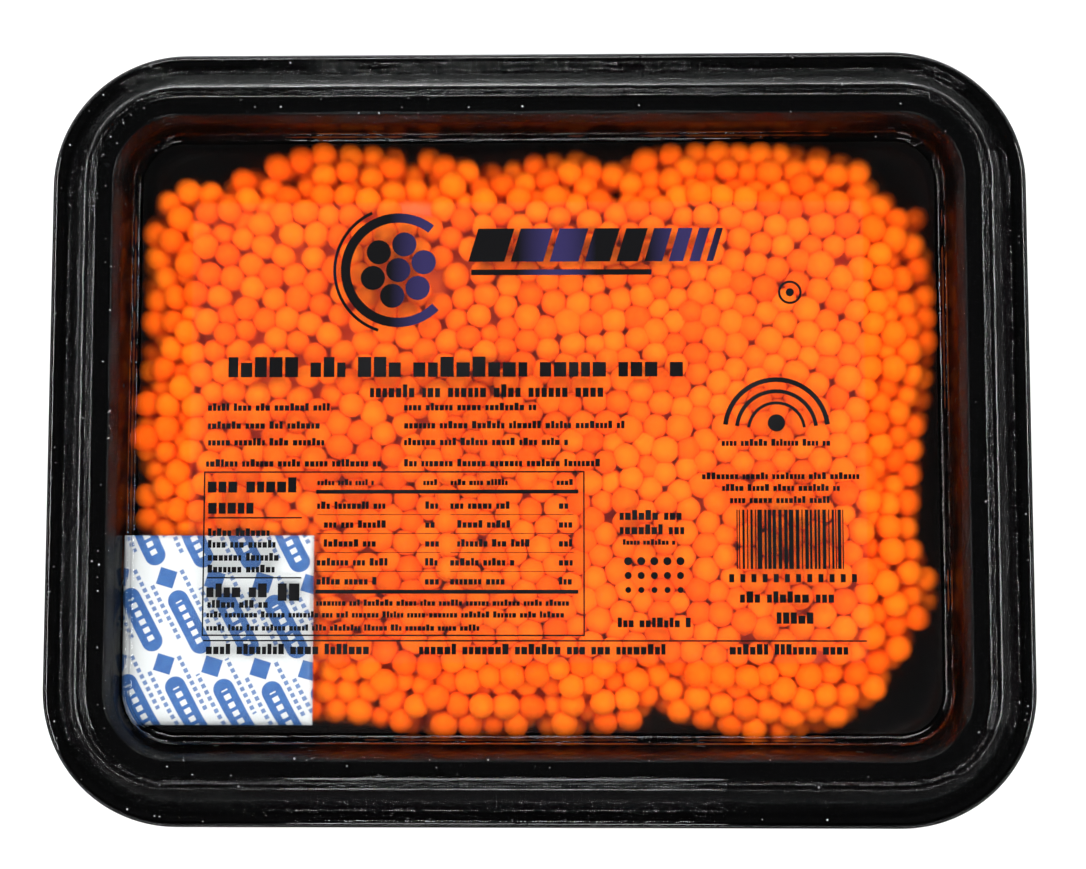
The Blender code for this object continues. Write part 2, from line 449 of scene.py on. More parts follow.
roe = {
    "seed": 41,
    "line": (  # through the centres of the outermost eggs, in millimetres
        (-68, 63), (-76, 58), (-85, 59), (-91, 54), (-92, 42), (-91.5, 28), (-92.4, 12), (-92.4, -16),
        (-91, -38), (-86, -53), (-77, -63), (-65, -63), (-46, -64), (-27, -67), (12, -67), (21, -66),
        (27, -60), (33, -64), (48, -68), (59, -68), (69, -66), (77, -60), (83, -51), (88, -43), (92, -36),
        (86, -24), (88, -3), (91, 13), (92, 37), (90, 53), (80, 57), (76, 63), (69, 67), (36, 68),
        (27, 67), (16, 62), (9, 66), (-1, 65), (-10, 63), (-26, 67), (-53, 68)),
    "radius": 3.1,
    "radiusSpread": 0.28,
    "radiusLimit": 0.6,
    "squash": 0.07,
    "floor": 0.8,
    "top": 17.35,
    "dip": 2.1,
    "edgeDrop": 5.0,
    "edgeReach": 12.0,
    "underSachet": 13.4,
    "sachetFade": (0.5, 3.0),  # how far outside the sachet its press starts to fade, and over what
    "sachetPress": 0.25,
    "coreTop": 10.8,
    "coreStart": 4.0,
    "coreReach": 8.0,
    "coreTrim": 2.0,
    "coreSink": 0.05,
    "coreGrid": (70, 52),
    "coreHalf": (97.0, 72.0),
    "waveSize": 26.0,
    "edgeSeed": 5,
    "edgeWaveSize": 30.0,
    "field": (100, 75),  # half size of the field that places are drawn from
    "spots": 60000,
    "fill": 0.88,
    "overlap": 0.90,
    "steps": 80,
    "push": 0.42,
    "sink": 0.05,
    "seat": 0.6,
    "faceCuts": 3,
    "pale": (0.97, 0.165, 0.0060),
    "mid": (0.93, 0.128, 0.0045),
    "deep": (0.84, 0.092, 0.0032),
    # the core's colour is darker than the eggs' own: painted shade for the gaps and for the eggs lying deeper
    "core": (0.80, 0.10, 0.0045),
    "cloudScale": 420.0,
    "cloud": ((0.30, (0.96, 0.90, 0.85)), (0.65, (1.0, 1.0, 1.0))),
    "roughness": (0.25, 0.45),  # share of the noise, then the least
    "bump": (0.15, 0.0003),
    "cellScale": 170.0,
    "coreRoughness": 0.5,
    "coreBump": (0.6, 0.001),
}


def lineDistance(points):
    # signed distance to the heap's line, positive inside, and the way towards the line
    line = np.array(roe["line"], float)
    after = np.roll(line, -1, axis=0)
    along = after - line
    share = ((points[:, None] - line) * along).sum(2) / (along ** 2).sum(1)
    near = line + np.clip(share, 0, 1)[..., None] * along
    gap = points[:, None] - near
    size = np.linalg.norm(gap, axis=2)
    best = size.argmin(1)
    rows = np.arange(len(points))
    crosses = ((line[:, 1] > points[:, None, 1]) != (after[:, 1] > points[:, None, 1]))
    rise = np.where(along[:, 1] == 0, 1e-9, along[:, 1])
    at = line[:, 0] + (points[:, None, 1] - line[:, 1]) * along[:, 0] / rise
    isIn = (crosses & (points[:, None, 0] < at)).sum(1) % 2 == 1
    distance = size[rows, best]
    away = gap[rows, best] / np.maximum(distance, 1e-9)[:, None]
    return np.where(isIn, distance, -distance), away


def smoothStep(value):
    value = np.clip(value, 0, 1)
    return value * value * (3 - 2 * value)


def slowWaves(points, seed, size):
    # a sum of a few sine waves, from 0 to 1
    draw = np.random.default_rng(seed)
    total = np.zeros(len(points))
    for _ in range(7):
        turn = draw.uniform(0, math.tau)
        pitch = size * draw.uniform(0.6, 1.6)
        way = np.array((math.cos(turn), math.sin(turn)))
        total += np.sin(points @ way * math.tau / pitch + draw.uniform(0, math.tau))
    return np.clip(0.5 + total / 7.5, 0, 1)


def sachetShare(points):
    # 1 under the sachet, fading to 0 just outside it
    x0, y0, _, x1, y1, _ = sachetBox
    outside = np.maximum.reduce([x0 - points[:, 0], points[:, 0] - x1, y0 - points[:, 1], points[:, 1] - y1])
    start, reach = roe["sachetFade"]
    return 1 - smoothStep((outside - start) / reach)


def heapTop(points, distance):
    top = roe["top"] - roe["dip"] * slowWaves(points, roe["seed"], roe["waveSize"])
    edge = slowWaves(points, roe["edgeSeed"], roe["edgeWaveSize"])
    top -= roe["edgeDrop"] * (1 - smoothStep(distance / roe["edgeReach"])) * edge ** 0.5
    under = sachetShare(points)
    return top * (1 - under) + np.minimum(top, roe["underSachet"]) * under


def coreHeight(points, distance):
    rise = smoothStep((distance - roe["coreStart"]) / roe["coreReach"])
    lowered = 1 - roe["sachetPress"] * sachetShare(points)
    return roe["floor"] + (roe["coreTop"] - roe["floor"]) * rise * lowered


def settleEggs():
    # eggs start at random between the core and the heap's top, and push each other apart
    draw = np.random.default_rng(roe["seed"])
    across, along = roe["field"]
    spots = draw.uniform((-across, -along), (across, along), (roe["spots"], 2))
    distance, _ = lineDistance(spots)
    spots, distance = spots[distance > 0], distance[distance > 0]
    low = np.maximum(coreHeight(spots, distance), roe["floor"])
    depth = np.maximum(heapTop(spots, distance) - low, 0)
    area = 4 * across * along * len(spots) / roe["spots"]
    eggVolume = 4 / 3 * math.pi * roe["radius"] ** 3
    count = int(depth.mean() * area * roe["fill"] / eggVolume)
    pick = draw.choice(len(spots), count, replace=False, p=depth / depth.sum())
    place = np.column_stack([spots[pick], low[pick] + depth[pick] * draw.uniform(0, 1, count)])
    limit = roe["radiusLimit"]
    radius = roe["radius"] + draw.normal(0, roe["radiusSpread"] / 2, count).clip(-limit, limit)
    reach = (radius[:, None] + radius) * roe["overlap"]
    for _ in range(roe["steps"]):
        gap = place[:, None] - place
        size = np.sqrt((gap ** 2).sum(2))
        np.fill_diagonal(size, 1e9)
        push = np.maximum(reach - size, 0) / np.maximum(size, 1e-6)
        place += roe["push"] * (gap * push[..., None]).sum(1)
        place[:, 2] -= roe["sink"]
        distance, away = lineDistance(place[:, :2])
        out = distance < 0
        place[out, :2] -= away[out] * -distance[out, None]
        low = coreHeight(place[:, :2], distance) + radius * roe["seat"]
        low = np.maximum(low, roe["floor"] + radius)
        high = heapTop(place[:, :2], distance) - radius
        place[:, 2] = np.clip(place[:, 2], low, np.maximum(high, low))
    return place, radius


def eggShape():
    # a cube whose faces are cut and puffed out to a ball
    bm = bmesh.new()
    bmesh.ops.create_cube(bm, size=1.0)
    bmesh.ops.subdivide_edges(bm, edges=bm.edges, cuts=roe["faceCuts"] - 1, use_grid_fill=True)
    for vert in bm.verts:
        bent = Vector([math.tan(c * math.pi / 2) for c in vert.co])
        vert.co = bent.normalized()
    bm.verts.index_update()
    points = np.array([v.co for v in bm.verts])
    faces = np.array([[v.index for v in f.verts] for f in bm.faces])
    bm.free()
    return points, faces


def eggTurns(draw, count):
    # random turns, from quaternions
    q = draw.normal(size=(count, 4))
    q /= np.linalg.norm(q, axis=1)[:, None]
    w, x, y, z = q.T
    return np.array([
        [1 - 2 * (y * y + z * z), 2 * (x * y - z * w), 2 * (x * z + y * w)],
        [2 * (x * y + z * w), 1 - 2 * (x * x + z * z), 2 * (y * z - x * w)],
        [2 * (x * z - y * w), 2 * (y * z + x * w), 1 - 2 * (x * x + y * y)]]).transpose(2, 0, 1)


def joinEggs(name, place, radius, draw, material):
    # one mesh of many eggs, each with its own tone
    points, faces = eggShape()
    count = len(place)
    stretch = 1 + draw.uniform(-roe["squash"], roe["squash"], (count, 3))
    turns = eggTurns(draw, count)
    shaped = np.einsum("nij,nvj->nvi", turns, points * (radius[:, None] * stretch)[:, None])
    verts = (shaped + place[:, None]).reshape(-1, 3) * mm
    indices = (faces + np.arange(count)[:, None, None] * len(points)).reshape(-1, 4)
    mesh = bpy.data.meshes.new(name)
    mesh.from_pydata(verts.tolist(), [], indices.tolist())
    tone = mesh.attributes.new("eggTone", "FLOAT", "POINT")
    tone.data.foreach_set("value", np.repeat(draw.uniform(0, 1, count), len(points)))
    mesh.polygons.foreach_set("use_smooth", [True] * len(mesh.polygons))
    mesh.materials.append(material)
    mesh.update()
    piece = bpy.data.objects.new(name, mesh)
    bpy.context.scene.collection.objects.link(piece)
    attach(piece, "root")
    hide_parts("roe")


def makeEggMaterial():
    material, tree, shader, _ = newMaterial("salmonEgg")
    tone = addNode(tree, "ShaderNodeAttribute", attribute_name="eggTone")
    colour = addRamp(tree, tone.outputs["Fac"], ((0.0, roe["deep"]), (0.35, roe["mid"]), (1.0, roe["pale"])))
    noise = addNoise(tree, roe["cloudScale"])
    cloud = addNode(tree, "ShaderNodeMix", data_type="RGBA", blend_type="MULTIPLY")
    cloud.inputs["Factor"].default_value = 1.0
    shade = addRamp(tree, noise, roe["cloud"])
    link(tree, colour, cloud.inputs["A"])
    link(tree, shade, cloud.inputs["B"])
    link(tree, cloud.outputs["Result"], shader.inputs["Base Color"])
    link(tree, addMath(tree, "MULTIPLY_ADD", noise, *roe["roughness"]), shader.inputs["Roughness"])
    shader.inputs["Specular IOR Level"].default_value = 0.0
    addBump(tree, shader, noise, *roe["bump"])
    return material


def makeCoreMaterial():
    material, tree, shader, _ = newMaterial("roeDepthPaintedShade")
    cells = addNode(tree, "ShaderNodeTexVoronoi")
    cells.inputs["Scale"].default_value = roe["cellScale"]
    link(tree, objectPoint(tree), cells.inputs["Vector"])
    # each cell is paler at its middle and darker towards its rim, and the whole is darker than the eggs:
    # painted shade of round eggs lying below and between
    colour = addRamp(tree, cells.outputs["Distance"], ((0.0, roe["mid"]), (0.75, roe["core"])))
    link(tree, colour, shader.inputs["Base Color"])
    shader.inputs["Roughness"].default_value = roe["coreRoughness"]
    addBump(tree, shader, cells.outputs["Distance"], *roe["coreBump"])
    return material


def makeCore():
    # the heap's inside: a grid cut to the outline and raised where eggs lie on it
    bm = bmesh.new()
    columns, rows = roe["coreGrid"]
    bmesh.ops.create_grid(bm, x_segments=columns, y_segments=rows, size=1.0)
    bmesh.ops.scale(bm, vec=(*roe["coreHalf"], 1.0), verts=bm.verts)
    points = np.array([v.co.xy for v in bm.verts])
    distance, _ = lineDistance(points)
    tops = coreHeight(points, distance)
    for vert, top in zip(bm.verts, tops):
        vert.co.z = top
    outside = [v for v, d in zip(bm.verts, distance) if d < roe["coreStart"] - roe["coreTrim"]]
    bmesh.ops.delete(bm, geom=outside, context="VERTS")
    grown = bmesh.ops.extrude_face_region(bm, geom=bm.faces[:])["geom"]
    for vert in grown:
        if isinstance(vert, bmesh.types.BMVert):
            vert.co.z = roe["floor"] - roe["coreSink"]
    piece = finishPiece("roeCore", bm, makeCoreMaterial())
    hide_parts("roe")


def makeRoe():
    place, radius = settleEggs()
    draw = np.random.default_rng(roe["seed"] + 1)
    material = makeEggMaterial()
    order = np.argsort(-place[:, 2])
    half = len(order) // 2
    upper, lower = np.sort(order[:half]), np.sort(order[half:])
    joinEggs("roeEggsUpper", place[upper], radius[upper], draw, material)
    joinEggs("roeEggsLower", place[lower], radius[lower], draw, material)
    makeCore()
    print("roe:", len(place), "eggs")


# Sachet

sachet = {
    "cuts": 40,
    "inset": 18.05,
    "top": 17.15,
    "edgeTop": 16.2,
    "bottom": 13.5,
    "edgeThickness": 0.5,
    "seam": 0.075,
    "paper": (0.60, 0.61, 0.61),
    "blue": (0.022, 0.085, 0.27),
    "paleBlue": (0.035, 0.125, 0.34),
    "turn": 62.0,
    "pitch": 9.6,
    "barLength": 16.0,
    "barRadius": 2.5,
    "gap": 7.0,
    "diamond": 2.9,
    "rowShift": 17.3,
    "sharpness": 8.0,
    "dash": (2.1, 1.25, 0.75),  # pitch, length and half width of the white dashes
    "tick": (1.6, 1.0, 0.5),  # the same of the small dashes between the bars
    "tickShare": 0.62,
    "tickInk": 0.85,
    "tickPlace": 1.0,
    "bareEnd": 2.6,  # of each bar, without white dashes
    "grain": 900.0,
    "roughness": (0.2, 0.35),
    "bump": (0.12, 0.0002),
    "wave": (44, 3, 15.0),  # span, seed and size of the slow waves in the paper
    "puffEdge": 0.30,
    "rise": 1.6,
    "drop": 0.25,
    "sag": 0.35,
}


def makeSachetMaterial():
    material, tree, shader, _ = newMaterial("printedSachet")
    mapping = addNode(tree, "ShaderNodeMapping")
    mapping.inputs["Rotation"].default_value = (0, 0, math.radians(sachet["turn"]))
    mapping.inputs["Scale"].default_value = (1000, 1000, 1000)
    link(tree, objectPoint(tree), mapping.inputs["Vector"])
    split = addNode(tree, "ShaderNodeSeparateXYZ")
    link(tree, mapping.outputs[0], split.inputs[0])
    run, across = split.outputs[0], split.outputs[1]
    pitch, length, radius = sachet["pitch"], sachet["barLength"], sachet["barRadius"]
    row = addMath(tree, "FLOOR", addMath(tree, "DIVIDE", across, pitch))
    side = addMath(tree, "SUBTRACT", addMath(tree, "FLOORED_MODULO", across, pitch), pitch / 2)
    shifted = addMath(tree, "ADD", run, addMath(tree, "MULTIPLY", row, sachet["rowShift"]))
    period = length + sachet["gap"]
    place = addMath(tree, "SUBTRACT", addMath(tree, "FLOORED_MODULO", shifted, period), period / 2)
    along = addMath(tree, "ABSOLUTE", place)
    aside = addMath(tree, "ABSOLUTE", side)
    over = addMath(tree, "MAXIMUM", addMath(tree, "SUBTRACT", along, length / 2 - radius), 0.0)
    squares = addMath(tree, "ADD", addMath(tree, "POWER", over, 2.0), addMath(tree, "POWER", side, 2.0))
    inside = addMath(tree, "SUBTRACT", radius, addMath(tree, "SQRT", squares))
    bar = addMath(tree, "MULTIPLY", inside, sachet["sharpness"], clamp=True)
    # white dashes along the middle of each bar
    dashPitch, dashLength, dashHalf = sachet["dash"]
    dashOn = addMath(tree, "LESS_THAN", addMath(tree, "FLOORED_MODULO", place, dashPitch), dashLength)
    narrow = addMath(tree, "LESS_THAN", aside, dashHalf)
    inner = addMath(tree, "LESS_THAN", along, length / 2 - sachet["bareEnd"])
    white = addMath(tree, "MULTIPLY", addMath(tree, "MULTIPLY", dashOn, narrow), inner)
    bar = addMath(tree, "MULTIPLY", bar, addMath(tree, "SUBTRACT", 1.0, white))
    # a diamond after each bar
    fromGap = addMath(tree, "ABSOLUTE", addMath(tree, "SUBTRACT", along, period / 2))
    reach = addMath(tree, "ADD", fromGap, aside)
    inside = addMath(tree, "SUBTRACT", sachet["diamond"], reach)
    diamond = addMath(tree, "MULTIPLY", inside, sachet["sharpness"], clamp=True)
    # two rows of small dashes between the bars
    tickPitch, tickLength, tickHalf = sachet["tick"]
    between = addMath(tree, "SUBTRACT", pitch / 2, aside)
    off = addMath(tree, "ABSOLUTE", addMath(tree, "SUBTRACT", between, sachet["tickPlace"]))
    thin = addMath(tree, "LESS_THAN", off, tickHalf)
    tick = addMath(tree, "LESS_THAN", addMath(tree, "FLOORED_MODULO", shifted, tickPitch), tickLength)
    inPeriod = addMath(tree, "FLOORED_MODULO", shifted, period)
    stretch = addMath(tree, "LESS_THAN", inPeriod, period * sachet["tickShare"])
    small = addMath(tree, "MULTIPLY", addMath(tree, "MULTIPLY", thin, tick), stretch)
    ink = addMath(tree, "MAXIMUM", bar, diamond)
    ink = addMath(tree, "MAXIMUM", ink, addMath(tree, "MULTIPLY", small, sachet["tickInk"]))
    noise = addNoise(tree, sachet["grain"])
    blue = addRamp(tree, noise, ((0.3, sachet["blue"]), (0.75, sachet["paleBlue"])))
    printed = addNode(tree, "ShaderNodeMix", data_type="RGBA")
    printed.inputs["A"].default_value = (*sachet["paper"], 1.0)
    link(tree, ink, printed.inputs["Factor"])
    link(tree, blue, printed.inputs["B"])
    link(tree, printed.outputs["Result"], shader.inputs["Base Color"])
    link(tree, addMath(tree, "MULTIPLY_ADD", noise, *sachet["roughness"]), shader.inputs["Roughness"])
    addBump(tree, shader, noise, *sachet["bump"])
    return material


def keepInCorner(vert, inset):
    # the paper gives way to the tray's rounded corner
    reach = cornerRadius - inset
    centre = Vector((math.copysign(halfLength - cornerRadius, vert.co.x),
                     math.copysign(halfWidth - cornerRadius, vert.co.y)))
    out = vert.co.xy - centre
    if out.x * centre.x > 0 and out.y * centre.y > 0 and out.length > reach:
        vert.co.z -= sachet["sag"] * (out.length - reach)
        vert.co.xy = centre + out.normalized() * reach


def makeSachet():
    x0, y0, _, x1, y1, _ = sachetBox
    bm = bmesh.new()
    bmesh.ops.create_cube(bm, size=1.0)
    bmesh.ops.subdivide_edges(bm, edges=bm.edges, cuts=sachet["cuts"], use_grid_fill=True)
    points = np.array([v.co.xy for v in bm.verts])
    span, seed, size = sachet["wave"]
    lump = slowWaves(points * span, seed, size)
    for vert, wave in zip(bm.verts, lump):
        u, v = abs(2 * vert.co.x), abs(2 * vert.co.y)
        full = smoothStep((1 - u) / sachet["puffEdge"]) * smoothStep((1 - v) / sachet["puffEdge"])
        seam = smoothStep(min(1 - u, 1 - v) / sachet["seam"])
        puff = min(1.0, sachet["rise"] * full ** 0.5)
        top = sachet["edgeTop"] + (sachet["top"] - sachet["edgeTop"]) * puff
        top -= sachet["drop"] * (1 - seam) + sachet["drop"] * wave * (1 - full)
        edge = sachet["edgeThickness"]
        bottom = top - edge - (top - sachet["bottom"] - edge) * full
        share = vert.co.z + 0.5
        vert.co = (vert.co.x * (x1 - x0) + (x0 + x1) / 2, vert.co.y * (y1 - y0) + (y0 + y1) / 2,
                   bottom + (top - bottom) * share)
        keepInCorner(vert, sachet["inset"])
    piece = finishPiece("sachetPouch", bm, makeSachetMaterial())
    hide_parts("sachet")


# Label

label = {
    "film": 0.05,
    "filmAlpha": 0.003,
    # the cut edge is painted paler and less clear than the film, a painted highlight
    "edge": 0.14,
    "edgeAlpha": 0.20,
    "height": 18.36,
    "cornerRadius": 1.5,
    "cornerSteps": 6,
    "inkHeight": 18.40,
    "inkThickness": 0.05,
    "seed": 9,
    "ink": (0.004, 0.004, 0.0045),
    "greyInk": (0.010, 0.010, 0.011),
    "navyInk": (0.020, 0.016, 0.060),
    "navyBand": (-14.0, 46.0),
    "inkGrain": 70.0,
    "inkRoughness": (0.2, 0.4),
    "inkGloss": 0.03,
    "filmGrain": 60.0,
    "filmTones": ((0.3, (0.75, 0.75, 0.76)), (0.7, (0.85, 0.85, 0.86))),
    "filmRoughness": 0.3,
    "blockPitch": 0.78,  # of a row's blocks, for a height of 1
    "blockWidth": (0.62, 1.0),
    "blockHeights": (0.72, 0.72, 0.72, 1.0),
    "blockGap": 0.17,
    "wordGap": 0.62,
    "emblem": (-30.0, 37.5),
    "rosette": (6.2, 2.85),  # radius of the ring of dots, then of a dot
}
labelX = (labelLow.x + labelHigh.x) / 2 / mm
labelY = (labelLow.y + labelHigh.y) / 2 / mm
labelHalfX = (labelHigh.x - labelLow.x) / 2 / mm
labelHalfY = (labelHigh.y - labelLow.y) / 2 / mm


def makeFilmMaterial(name, alpha):
    material, tree, shader, _ = newMaterial(name)
    colour = addRamp(tree, addNoise(tree, label["filmGrain"]), label["filmTones"])
    link(tree, colour, shader.inputs["Base Color"])
    shader.inputs["Roughness"].default_value = label["filmRoughness"]
    shader.inputs["Alpha"].default_value = alpha
    return material


def makeFilm():
    # the film, whose cut edge is painted paler and less clear, a painted highlight where it catches a little
    # light
    bm = bmesh.new()
    face = roundedRing(bm, labelHalfX, labelHalfY, label["cornerRadius"], 0.0, label["cornerSteps"])
    bmesh.ops.translate(bm, vec=(labelX, labelY, label["height"]), verts=bm.verts)
    rim = bmesh.ops.inset_region(bm, faces=[face], thickness=label["edge"], use_even_offset=True)["faces"]
    for strip in rim:
        strip.material_index = 1
    piece = finishPiece("labelFilm", bm, makeFilmMaterial("labelFilm", label["filmAlpha"]), smooth=False)
    piece.data.materials.append(makeFilmMaterial("labelFilmEdgeHighlight", label["edgeAlpha"]))
    addSolidify(piece, label["film"])
    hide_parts("label")


def inkBlock(bm, x, y, width, height, slant=0.0):
    # one flat block of ink, placed by its centre on the label
    size = Matrix.Diagonal((width, height, label["inkThickness"], 1.0))
    lean = Matrix.Identity(4)
    lean[0][1] = slant
    bmesh.ops.create_cube(bm, size=1.0, matrix=Matrix.Translation((x, y, 0)) @ lean @ size)


def inkRow(bm, draw, x, y, width, height, words=None, solid=0.78):
    # a line of short blocks, grouped like words
    unit = height * label["blockPitch"]
    at = x - width / 2
    end = x + width / 2
    while at < end - unit * 0.5:
        letters = int(draw.integers(3, 9)) if words is None else words
        for _ in range(letters):
            wide = unit * draw.uniform(*label["blockWidth"]) * solid
            if at + wide > end:
                return
            tall = height * draw.choice(label["blockHeights"])
            inkBlock(bm, at + wide / 2, y - (height - tall) / 2, wide, tall)
            at += wide + unit * label["blockGap"]
        at += unit * label["wordGap"]


def inkRing(bm, x, y, radius, width, segments=32):
    made = []
    for size in (radius, radius - width):
        circle = bmesh.ops.create_circle(bm, cap_ends=False, segments=segments, radius=size)
        bmesh.ops.translate(bm, vec=(x, y, 0), verts=circle["verts"])
        made += list({e for v in circle["verts"] for e in v.link_edges})
    thicken(bm, bmesh.ops.bridge_loops(bm, edges=made)["faces"], label["inkThickness"])


def inkDot(bm, x, y, radius, segments=20):
    circle = bmesh.ops.create_circle(bm, cap_ends=True, segments=segments, radius=radius)
    bmesh.ops.translate(bm, vec=(x, y, 0), verts=circle["verts"])
    thicken(bm, list({f for v in circle["verts"] for f in v.link_faces}), label["inkThickness"])


def inkFrame(bm, x, y, width, height, line, corner=0.0):
    if corner:
        face = roundedRing(bm, width / 2, height / 2, corner, 0.0, label["cornerSteps"])
        bmesh.ops.translate(bm, vec=(x, y, 0), verts=face.verts)
        band = bmesh.ops.inset_region(bm, faces=[face], thickness=line, use_even_offset=True)["faces"]
        bmesh.ops.delete(bm, geom=[face], context="FACES_ONLY")
        thicken(bm, band, label["inkThickness"])
        return
    for side in (-1, 1):
        inkBlock(bm, x, y + side * (height - line) / 2, width, line)
        inkBlock(bm, x + side * (width - line) / 2, y, line, height - 2 * line)


def inkArc(bm, x, y, radius, width, start, sweep, steps=24):
    first = bm.verts.new((x + (radius - width) * math.cos(start), y + (radius - width) * math.sin(start), 0))
    second = bm.verts.new((x + radius * math.cos(start), y + radius * math.sin(start), 0))
    edge = bm.edges.new((first, second))
    before = set(bm.faces)
    bmesh.ops.spin(bm, geom=[first, second, edge], cent=(x, y, 0), axis=(0, 0, 1), angle=sweep,
                   steps=steps, use_merge=False, use_duplicate=False)
    thicken(bm, [f for f in bm.faces if f not in before], label["inkThickness"])


def printEmblem(bm):
    # an open ring around a rosette of dots, then plain leaning bars that grow narrower
    x, y = label["emblem"]
    reach, dot = label["rosette"]
    inkArc(bm, x, y, 13.4, 2.2, 0.9, 4.6, 44)
    inkArc(bm, x, y, 15.2, 0.7, 2.0, 2.4, 30)
    for turn in range(6):
        angle = turn * math.tau / 6 + 0.3
        inkDot(bm, x + reach * math.cos(angle), y + reach * math.sin(angle), dot)
    inkDot(bm, x, y, dot)
    at = -12.5
    for step in range(9):
        width = 8.4 - 0.85 * step
        inkBlock(bm, at + width / 2, 43.3, width, 7.8, slant=0.3)
        at += width + 1.5
    inkBlock(bm, 8.0, 36.9, 42.0, 1.3)


def printTitle(bm, draw):
    inkRow(bm, draw, -16.0, 14.8, 106.8, 4.7, solid=0.85)
    inkRow(bm, draw, -8.8, 9.2, 55.2, 3.0, solid=0.6)


def printRows(bm, draw):
    for y, x, width, rightX, rightWidth in (
            (5.5, -59.5, 29.1, -12.7, 31.5), (1.3, -60.4, 27.2, -2.3, 52.2), (-2.6, -60.3, 27.2, -9.2, 38.4)):
        inkRow(bm, draw, x, y, width, 1.75)
        inkRow(bm, draw, rightX, y, rightWidth, 1.75)
    inkRow(bm, draw, -53.9, -7.5, 40.8, 1.75)
    inkRow(bm, draw, -5.1, -7.5, 46.5, 1.75)


def printTable(bm, draw):
    inkFrame(bm, -30.7, -28.4, 88.1, 37.9, 0.35)
    inkRow(bm, draw, -62.9, -12.6, 21.8, 3.5, solid=0.8)
    inkRow(bm, draw, -68.0, -17.5, 11.3, 3.5, solid=0.8)
    inkBlock(bm, -62.8, -20.2, 21.8, 0.35)
    for y, width in ((-23.5, 14.3), (-26.2, 15.7), (-29.2, 16.4), (-31.9, 16.2)):
        inkRow(bm, draw, -73.6 + width / 2, y, width, 1.8)
    inkBlock(bm, -62.8, -34.0, 21.8, 0.35)
    inkRow(bm, draw, -66.0, -36.9, 15.6, 3.2, solid=0.85)
    inkRow(bm, draw, -54.6, -37.3, 5.4, 4.0, solid=0.85)
    inkRow(bm, draw, -66.2, -40.0, 14.6, 1.8)
    for column, x0 in enumerate((-48.4, -17.6)):
        inkRow(bm, draw, x0 + 6.8, -12.0, 13.6, 1.4)
        inkRow(bm, draw, x0 + 26.5, -12.0, 4.0, 1.4)
        for row in range(5):
            y = -17.3 - row * 4.35
            wide = 17.0 - 2.2 * ((row + column) % 3)
            inkRow(bm, draw, x0 + wide / 2 + (1.6 if row in (1, 2) else 0.0), y, wide, 1.75)
            inkRow(bm, draw, x0 + 26.6, y, 3.2, 1.75)
            if row < 4:
                inkBlock(bm, x0 + 14.2, y - 2.2, 28.4, 0.15)
    inkBlock(bm, -18.4, -14.2, 60.5, 0.9)
    inkBlock(bm, -18.4, -37.2, 60.5, 0.9)
    for y, x, width in ((-39.7, -18.6, 59.6), (-42.4, -32.3, 82.8), (-45.4, -41.8, 63.8)):
        inkRow(bm, draw, x, y, width, 1.45)


def printRight(bm, draw):
    inkRing(bm, 61.0, 32.0, 2.75, 0.55)
    inkDot(bm, 61.0, 32.0, 0.95)
    for ring, radius in enumerate((12.4, 9.6, 6.8)):
        inkArc(bm, 57.6, -0.2, radius, 1.1 - 0.2 * ring, 0.12, math.pi - 0.24)
    inkDot(bm, 57.6, 1.6, 2.0)
    inkRow(bm, draw, 57.5, -2.9, 25.1, 1.6)
    for y, x, width in ((-10.6, 58.5, 36.3), (-13.3, 58.7, 27.5), (-16.1, 58.8, 24.1)):
        inkRow(bm, draw, x, y, width, 1.6)
    at = 48.2
    while at < 73.2:
        wide = draw.choice((0.27, 0.53, 0.8, 1.06))
        inkBlock(bm, at + wide / 2, -25.2, wide, 13.6)
        at += wide + draw.choice((0.27, 0.53, 0.53))
    for step in range(12):
        inkBlock(bm, 47.0 + step * 2.55, -34.1, 1.15, 1.9)
    inkRow(bm, draw, 59.6, -38.4, 21.5, 2.6)
    inkRow(bm, draw, 61.9, -43.2, 9.4, 2.6)
    inkFrame(bm, 29.3, -28.3, 19.6, 25.2, 0.35, corner=2.4)
    inkRow(bm, draw, 28.6, -19.6, 14.5, 2.3)
    inkRow(bm, draw, 29.3, -22.9, 15.8, 2.3)
    inkRow(bm, draw, 28.4, -25.8, 12.6, 1.3)
    for row in range(3):
        for column in range(5):
            inkDot(bm, 23.3 + column * 3.0, -30.2 - row * 3.3, 0.95 - 0.12 * row, 14)
    inkRow(bm, draw, 29.9, -44.2, 18.1, 2.2)
    inkBlock(bm, 1.7, -48.4, 152.1, 0.35)
    for x, width in ((-54.7, 38.0), (4.3, 57.9), (60.3, 27.8)):
        inkRow(bm, draw, x, -50.3, width, 2.4)


def makeInkMaterial(name, dark, light, gradient=False):
    material, tree, shader, _ = newMaterial(name)
    value = noise = addNoise(tree, label["inkGrain"])
    if gradient:
        # the ink turns bluer and darker again along the emblem
        split = addNode(tree, "ShaderNodeSeparateXYZ")
        link(tree, objectPoint(tree), split.inputs[0])
        start, end = label["navyBand"]
        turn = addMath(tree, "MULTIPLY_ADD", split.outputs[0], 2 * math.tau / ((end - start) * mm), 0.6)
        value = addMath(tree, "MULTIPLY_ADD", addMath(tree, "SINE", turn), 0.3, 0.5)
    colour = addRamp(tree, value, ((0.40, dark), (0.80, light)))
    link(tree, colour, shader.inputs["Base Color"])
    link(tree, addMath(tree, "MULTIPLY_ADD", noise, *label["inkRoughness"]), shader.inputs["Roughness"])
    shader.inputs["Specular IOR Level"].default_value = label["inkGloss"]
    return material


def finishInk(name, bm, material):
    bmesh.ops.translate(bm, vec=(labelX, labelY, label["inkHeight"]), verts=bm.verts)
    piece = finishPiece(name, bm, material, smooth=False)
    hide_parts("label")


